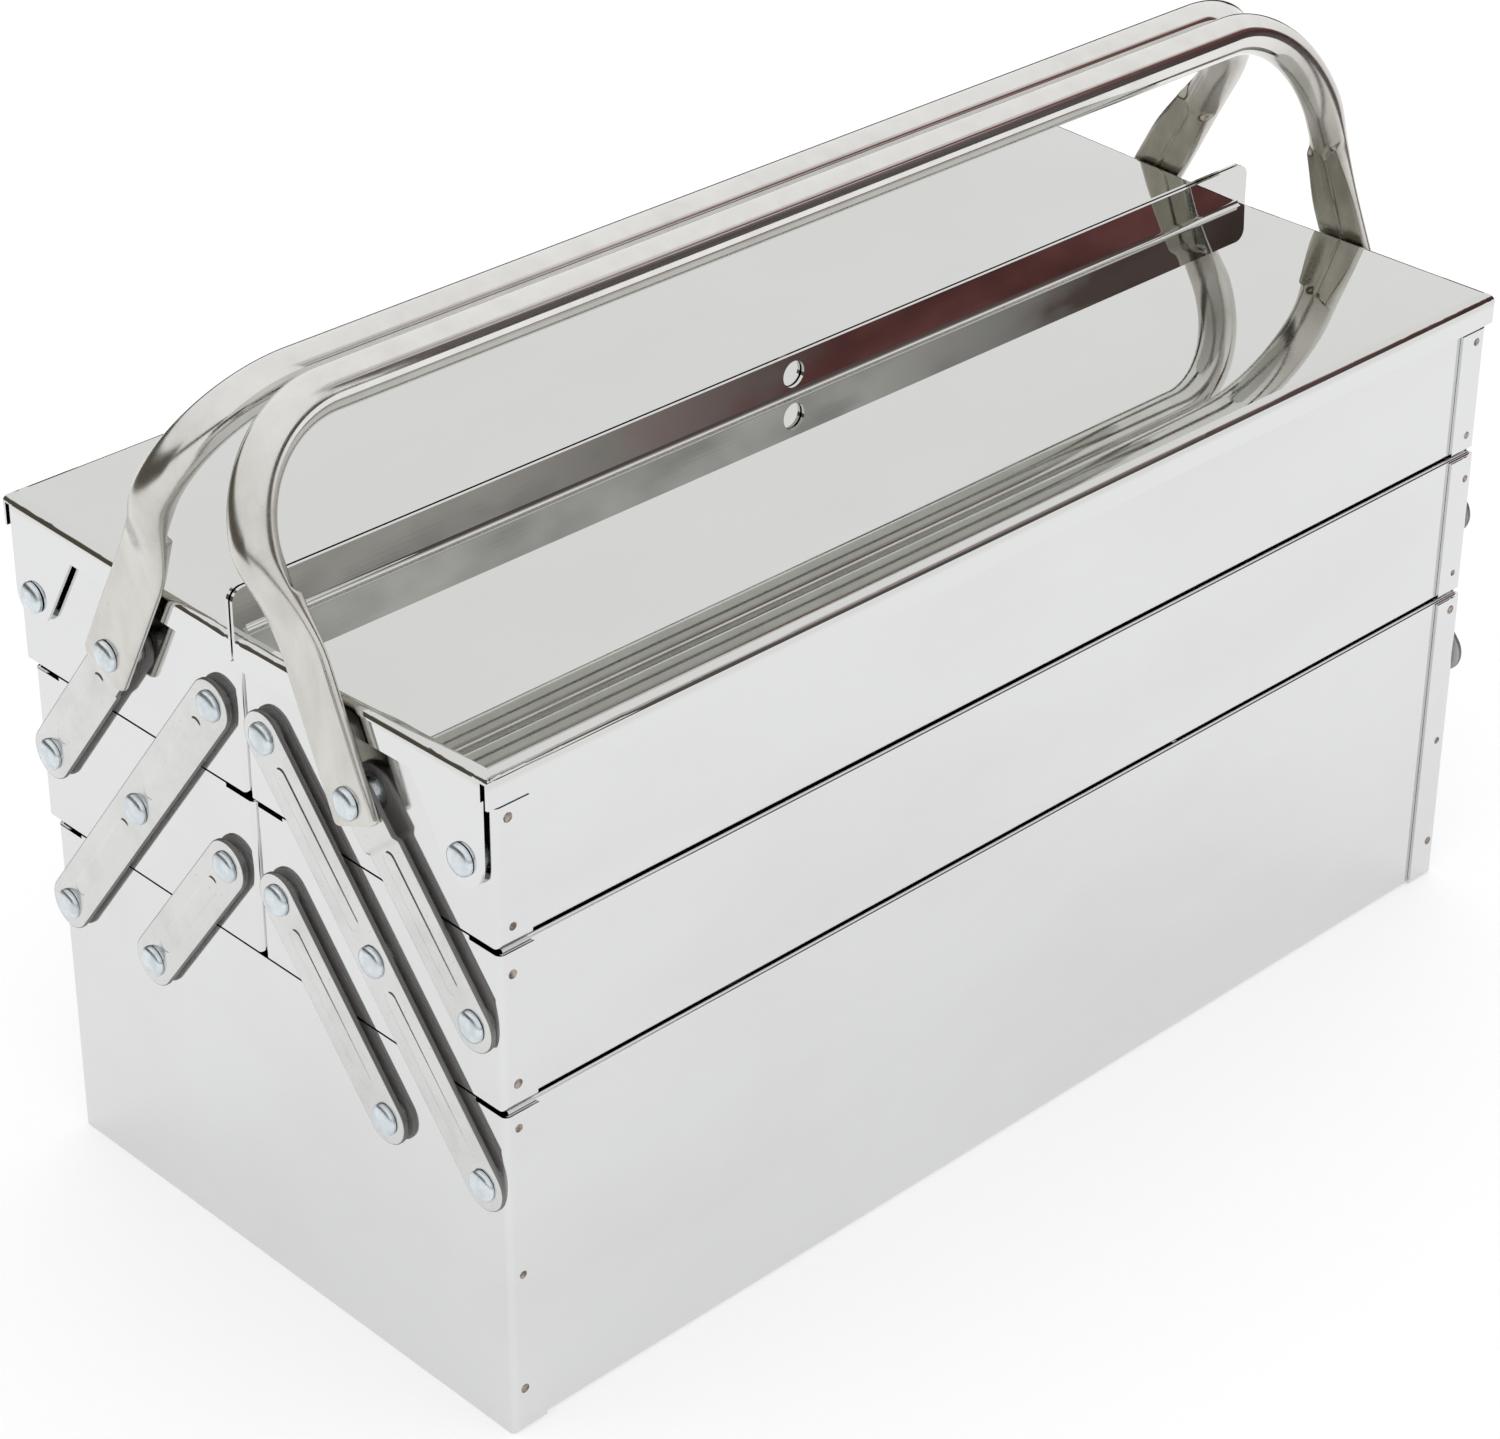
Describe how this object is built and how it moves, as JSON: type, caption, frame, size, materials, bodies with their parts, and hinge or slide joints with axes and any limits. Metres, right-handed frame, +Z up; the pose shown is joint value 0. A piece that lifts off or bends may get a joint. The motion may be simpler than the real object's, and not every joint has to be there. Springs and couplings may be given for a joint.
{
  "type": "cantilever tool box",
  "caption": "Cantilever tool box of polished sheet, with trays that swing out on riveted arms, hinged lids and two bent tube handles.",
  "frame": {"origin": "middle of the bottom box's underside", "axes": "+X along the box, +Y across it towards the rear trays, +Z up"},
  "size_m": [0.4458, 0.21, 0.2883],
  "materials": {
    "box_sheet": "mirror polished stainless sheet",
    "lid_sheet": "mirror polished stainless sheet",
    "arm_plate": "polished steel, lightly scuffed",
    "tube": "polished tube with satin flattened ends",
    "rivet": "bright zinc plated",
    "washer": "plain"
  },
  "bodies": {
    "base": {"base_trough": "box_sheet", "base_end_left": "box_sheet", "base_end_right": "box_sheet", "base_rivets": "rivet", "base_washers": "washer"},
    "front_middle_tray": {"front_middle_trough": "box_sheet", "front_middle_end_left": "box_sheet", "front_middle_end_right": "box_sheet", "front_middle_rivets": "rivet", "front_middle_washers": "washer"},
    "front_top_tray": {"front_top_trough": "box_sheet", "front_top_end_left": "box_sheet", "front_top_end_right": "box_sheet", "front_top_rivets": "rivet", "front_top_washers": "washer"},
    "front_lid": {"front_lid": "lid_sheet"},
    "front_long_arms": {"front_long_arm_left": "arm_plate", "front_long_arm_right": "arm_plate"},
    "front_short_arms": {"front_short_arm_left": "arm_plate", "front_short_arm_right": "arm_plate"},
    "front_handle": {"front_link_left": "arm_plate", "front_link_right": "arm_plate", "front_handle": "tube"},
    "rear_middle_tray": {"rear_middle_trough": "box_sheet", "rear_middle_end_left": "box_sheet", "rear_middle_end_right": "box_sheet", "rear_middle_rivets": "rivet", "rear_middle_washers": "washer"},
    "rear_top_tray": {"rear_top_trough": "box_sheet", "rear_top_end_left": "box_sheet", "rear_top_end_right": "box_sheet", "rear_top_rivets": "rivet", "rear_top_washers": "washer"},
    "rear_lid": {"rear_lid": "lid_sheet"},
    "rear_long_arms": {"rear_long_arm_left": "arm_plate", "rear_long_arm_right": "arm_plate"},
    "rear_short_arms": {"rear_short_arm_left": "arm_plate", "rear_short_arm_right": "arm_plate"},
    "rear_handle": {"rear_link_left": "arm_plate", "rear_link_right": "arm_plate", "rear_handle": "tube"}
  },
  "joints": [
    {"name": "front_long_arm_swing", "type": "hinge", "parent": "base", "child": "front_long_arms", "pos_m": [0, -0.0931, 0.0849], "axis": [1, 0, 0], "range_deg": [0, 80.64]},
    {"name": "front_short_arm_swing", "type": "hinge", "parent": "base", "child": "front_short_arms", "pos_m": [0, -0.0523, 0.0849], "axis": [1, 0, 0], "range_deg": [0, 80.64]},
    {"name": "front_middle_tray_level", "type": "hinge", "parent": "front_long_arms", "child": "front_middle_tray", "pos_m": [0, -0.0499, 0.1358], "axis": [1, 0, 0], "range_deg": [-80.64, 0]},
    {"name": "front_top_tray_level", "type": "hinge", "parent": "front_long_arms", "child": "front_top_tray", "pos_m": [0, -0.0067, 0.1867], "axis": [1, 0, 0], "range_deg": [-80.64, 0]},
    {"name": "front_handle_swing", "type": "hinge", "parent": "front_middle_tray", "child": "front_handle", "pos_m": [0, -0.0907, 0.1358], "axis": [1, 0, 0], "range_deg": [0, 80.64]},
    {"name": "front_lid_hinge", "type": "hinge", "parent": "front_top_tray", "child": "front_lid", "pos_m": [0, -0.0883, 0.1867], "axis": [1, 0, 0], "range_deg": [0, 75]},
    {"name": "rear_long_arm_swing", "type": "hinge", "parent": "base", "child": "rear_long_arms", "pos_m": [0, 0.0931, 0.0849], "axis": [-1, 0, 0], "range_deg": [0, 74.06]},
    {"name": "rear_short_arm_swing", "type": "hinge", "parent": "base", "child": "rear_short_arms", "pos_m": [0, 0.0523, 0.0849], "axis": [-1, 0, 0], "range_deg": [0, 74.06]},
    {"name": "rear_middle_tray_level", "type": "hinge", "parent": "rear_long_arms", "child": "rear_middle_tray", "pos_m": [0, 0.0547, 0.1358], "axis": [-1, 0, 0], "range_deg": [-74.06, 0]},
    {"name": "rear_top_tray_level", "type": "hinge", "parent": "rear_long_arms", "child": "rear_top_tray", "pos_m": [0, 0.0163, 0.1867], "axis": [-1, 0, 0], "range_deg": [-74.06, 0]},
    {"name": "rear_handle_swing", "type": "hinge", "parent": "rear_middle_tray", "child": "rear_handle", "pos_m": [0, 0.0955, 0.1358], "axis": [-1, 0, 0], "range_deg": [0, 74.06]},
    {"name": "rear_lid_hinge", "type": "hinge", "parent": "rear_top_tray", "child": "rear_lid", "pos_m": [0, 0.0979, 0.1867], "axis": [-1, 0, 0], "range_deg": [0, 75]}
  ],
  "couplings": [
    {"joint": "front_short_arm_swing", "follows": "front_long_arm_swing", "ratio": 1},
    {"joint": "front_middle_tray_level", "follows": "front_long_arm_swing", "ratio": -1},
    {"joint": "front_top_tray_level", "follows": "front_long_arm_swing", "ratio": -1},
    {"joint": "front_handle_swing", "follows": "front_long_arm_swing", "ratio": 1},
    {"joint": "rear_short_arm_swing", "follows": "rear_long_arm_swing", "ratio": 1},
    {"joint": "rear_middle_tray_level", "follows": "rear_long_arm_swing", "ratio": -1},
    {"joint": "rear_top_tray_level", "follows": "rear_long_arm_swing", "ratio": -1},
    {"joint": "rear_handle_swing", "follows": "rear_long_arm_swing", "ratio": 1}
  ]
}
